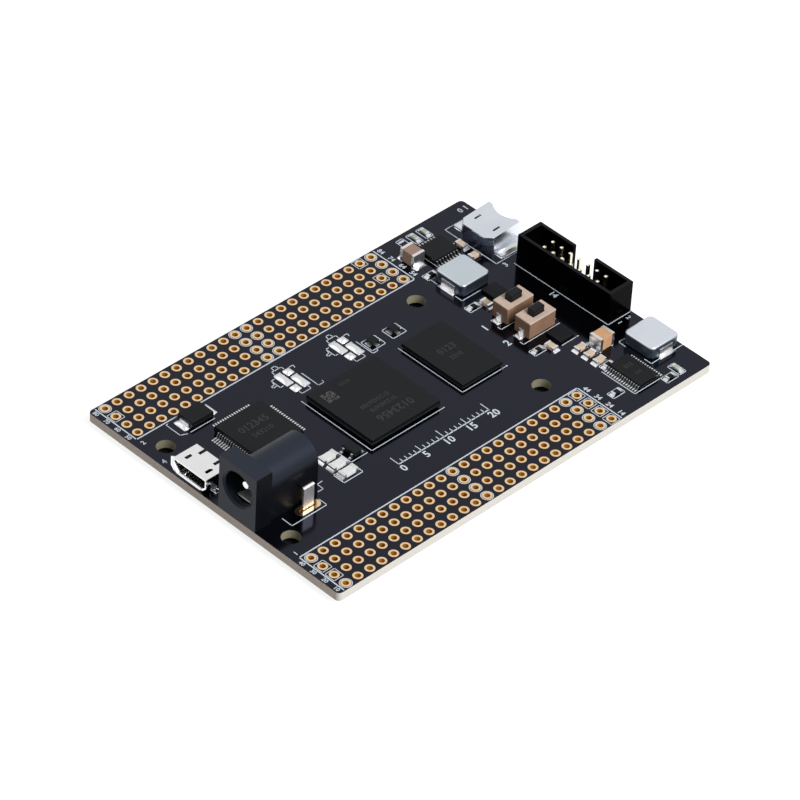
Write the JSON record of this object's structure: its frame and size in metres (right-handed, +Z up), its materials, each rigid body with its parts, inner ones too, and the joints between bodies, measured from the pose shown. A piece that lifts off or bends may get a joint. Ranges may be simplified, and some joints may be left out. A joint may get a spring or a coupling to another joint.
{
  "type": "microcontroller dev board",
  "caption": "Black programmable-logic development board with two strips of plated header holes, a power jack, a micro-USB socket, a shrouded header, a coin-cell retainer and push buttons.",
  "frame": {"origin": "middle of the board's outline in plan, level with the tips of the trimmed solder tails it stands on", "axes": "+X along the board from the power jack end to the shrouded header end, +Y across the board towards the side with the USB socket and the coin-cell retainer, +Z up out of the component side"},
  "size_m": [0.0832, 0.057, 0.0135],
  "materials": {
    "solder_mask": "glossy",
    "gold_plate": "polished",
    "black_mould": "matte",
    "chip_substrate": "satin",
    "tin_plate": "satin",
    "steel_shell": "polished",
    "connector_black": "satin",
    "ferrite": "satin",
    "button_tan": "matte",
    "button_cover": "satin",
    "button_black": "satin",
    "ceramic_tan": "matte",
    "ceramic_black": "matte",
    "fuse_pale": "matte",
    "led_resin": "glossy"
  },
  "bodies": {
    "board": {"circuit_board": "solder_mask", "near_header_barrels": "gold_plate", "far_header_barrels": "gold_plate", "connector_barrels": "gold_plate", "logic_balls": "tin_plate", "logic_substrate": "chip_substrate", "logic_cap": "black_mould", "memory_balls": "tin_plate", "memory_substrate": "chip_substrate", "memory_cap": "black_mould", "bridge_body": "black_mould", "bridge_leads": "tin_plate", "main_converter_body": "black_mould", "main_converter_leads": "tin_plate", "side_converter_body": "black_mould", "side_converter_leads": "tin_plate", "regulator_body": "black_mould", "regulator_leads": "tin_plate", "power_switches": "black_mould", "tripod_bodies": "black_mould", "tripod_tabs": "tin_plate", "diode_body": "black_mould", "diode_tabs": "tin_plate", "jack_housing": "connector_black", "jack_centre_pin": "tin_plate", "jack_rear_terminal": "tin_plate", "jack_switch_terminal": "tin_plate", "jack_spring": "tin_plate", "usb_shell": "steel_shell", "usb_insulator": "connector_black", "usb_contacts": "gold_plate", "debug_housing": "connector_black", "debug_pins": "gold_plate", "tail_solder": "tin_plate", "cell_retainer": "steel_shell", "cell_contact": "tin_plate", "tinned_pads": "tin_plate", "main_inductor_body": "ferrite", "main_inductor_terminals": "tin_plate", "side_inductor_body": "ferrite", "side_inductor_terminals": "tin_plate", "reset_button_base": "button_tan", "reset_button_cover": "button_cover", "reset_button_dome": "steel_shell", "reset_button_terminals": "tin_plate", "program_button_base": "button_tan", "program_button_cover": "button_cover", "program_button_dome": "steel_shell", "program_button_terminals": "tin_plate", "bulk_capacitor_bodies": "ceramic_tan", "bulk_capacitor_ends": "tin_plate", "capacitor_bodies": "ceramic_tan", "resistor_bodies": "ceramic_black", "led_bodies": "led_resin", "small_end_caps": "tin_plate", "fuse_bodies": "fuse_pale", "fuse_ends": "tin_plate"},
    "reset_plunger": {"reset_button_plunger": "button_black"},
    "program_plunger": {"program_button_plunger": "button_black"}
  },
  "joints": [
    {"name": "reset_press", "type": "slide", "parent": "board", "child": "reset_plunger", "axis": [0, 0, -1], "range_m": [0, 0.00025], "stiffness_N_per_m": 4000},
    {"name": "program_press", "type": "slide", "parent": "board", "child": "program_plunger", "axis": [0, 0, -1], "range_m": [0, 0.00025], "stiffness_N_per_m": 4000}
  ]
}
